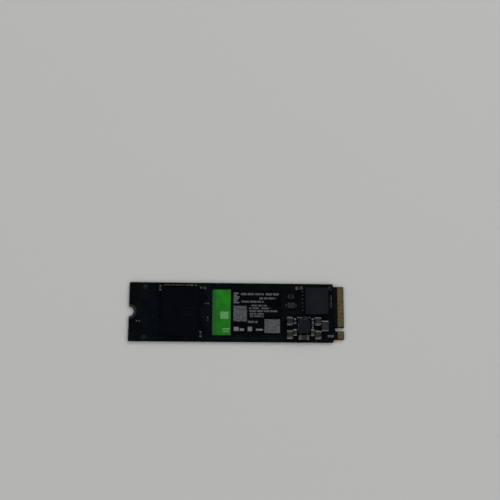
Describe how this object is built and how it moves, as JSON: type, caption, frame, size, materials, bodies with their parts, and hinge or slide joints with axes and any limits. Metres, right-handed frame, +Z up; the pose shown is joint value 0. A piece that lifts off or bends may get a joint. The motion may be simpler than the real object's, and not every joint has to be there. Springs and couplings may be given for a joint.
{
  "type": "solid state drive card",
  "caption": "Narrow keyed memory card with a flash chip, a printed label, a controller, power parts, gold edge contacts and a half-round screw notch.",
  "frame": {"origin": "middle of the underside, half way along the card", "axes": "+X along the card towards the edge connector, +Z up out of the side with the parts"},
  "size_m": [0.08, 0.022, 0.0024],
  "materials": {
    "solder_mask": "black solder mask over glass fibre board, satin gloss",
    "contact_gold": "hard gold plating, polished",
    "ring_plating": "thin gold over copper, dulled",
    "memory_package": "moulded black epoxy, matte",
    "chip_package": "moulded black epoxy, matte",
    "label_film": "printed film, black field with a green band",
    "solder": "reflowed solder, satin",
    "tin_plating": "tin plated, satin",
    "crystal_ceramic": "dark fired ceramic",
    "crystal_metal": "pressed nickel lid",
    "capacitor_ceramic": "fired brown ceramic",
    "resistor_ceramic": "white alumina",
    "resistor_glass": "black glass coat",
    "fuse_ceramic": "pale fired ceramic",
    "thermistor_ceramic": "dark fired ceramic",
    "ferrite": "pressed ferrite, fine grain"
  },
  "bodies": {
    "root": {"pcb": "solder_mask", "contact_fingers_top": "contact_gold", "contact_fingers_bottom": "contact_gold", "mounting_ring": "ring_plating", "fiducial_discs": "ring_plating", "nand_flash": "memory_package", "nand_solder_balls": "solder", "controller": "chip_package", "controller_solder_balls": "solder", "label": "label_film", "pmic": "chip_package", "pmic_leads": "tin_plating", "load_switch": "chip_package", "load_switch_leads": "tin_plating", "crystal_base": "crystal_ceramic", "crystal_lid": "crystal_metal", "nand_capacitors": "capacitor_ceramic", "controller_capacitors": "capacitor_ceramic", "power_capacitors": "capacitor_ceramic", "lane_capacitors": "capacitor_ceramic", "input_capacitors": "capacitor_ceramic", "resistors": "resistor_ceramic", "resistor_films": "resistor_glass", "input_fuse": "fuse_ceramic", "thermistor": "thermistor_ceramic", "inductor_1": "ferrite", "inductor_2": "ferrite", "inductor_3": "ferrite", "inductor_4": "ferrite", "solder_joints": "solder", "nand_capacitor_ends": "tin_plating", "controller_capacitor_ends": "tin_plating", "power_capacitor_ends": "tin_plating", "lane_capacitor_ends": "tin_plating", "input_capacitor_ends": "tin_plating", "resistor_ends": "tin_plating", "input_fuse_ends": "tin_plating", "thermistor_ends": "tin_plating", "inductor_1_ends": "tin_plating", "inductor_2_ends": "tin_plating", "inductor_3_ends": "tin_plating", "inductor_4_ends": "tin_plating"}
  },
  "joints": []
}
